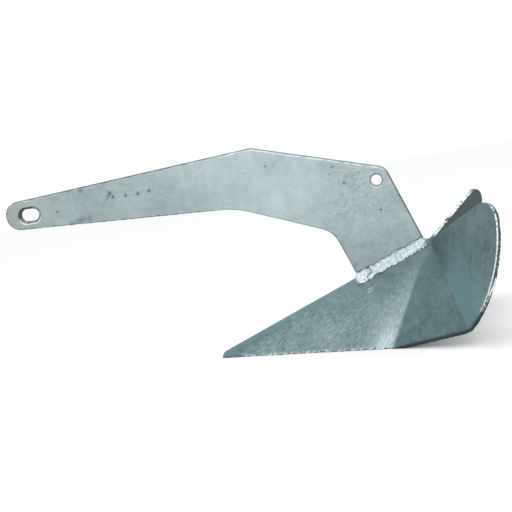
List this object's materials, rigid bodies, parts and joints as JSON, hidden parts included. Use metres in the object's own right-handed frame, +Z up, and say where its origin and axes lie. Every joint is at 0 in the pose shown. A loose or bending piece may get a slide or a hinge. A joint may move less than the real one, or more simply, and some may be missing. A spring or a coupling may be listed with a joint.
{
  "type": "plow anchor",
  "caption": "Fixed-shank plough anchor of galvanised steel plate: bent flat shank with a shackle slot, welded to a folded V-shaped fluke with flared wings and a weighted toe.",
  "frame": {"origin": "bottom centre of the anchor's box, on the plane that its two front panels stand on", "axes": "+X from the shackle eye towards the wings, +Y to the starboard wing, +Z up from the standing plane"},
  "size_m": [1.3576, 0.6718, 0.5698],
  "materials": {
    "shank_zinc": "hot-dip galvanised, smooth pale zinc with faint spangle and small pits",
    "fluke_zinc": "hot-dip galvanised, dull mottled grey zinc",
    "weld_zinc": "rippled weld metal under bright zinc",
    "ballast_steel": "plain rolled steel, enclosed"
  },
  "bodies": {
    "root": {"ballast_bulkhead": "fluke_zinc", "ballast_cover": "fluke_zinc", "fluke_plate": "fluke_zinc", "shank": "shank_zinc", "toe_ballast": "ballast_steel", "weld_bulkhead_port": "weld_zinc", "weld_bulkhead_starboard": "weld_zinc", "weld_cover_port": "weld_zinc", "weld_cover_starboard": "weld_zinc", "weld_heel": "weld_zinc", "weld_shank_port": "weld_zinc", "weld_shank_starboard": "weld_zinc", "weld_toe": "weld_zinc"}
  },
  "joints": []
}
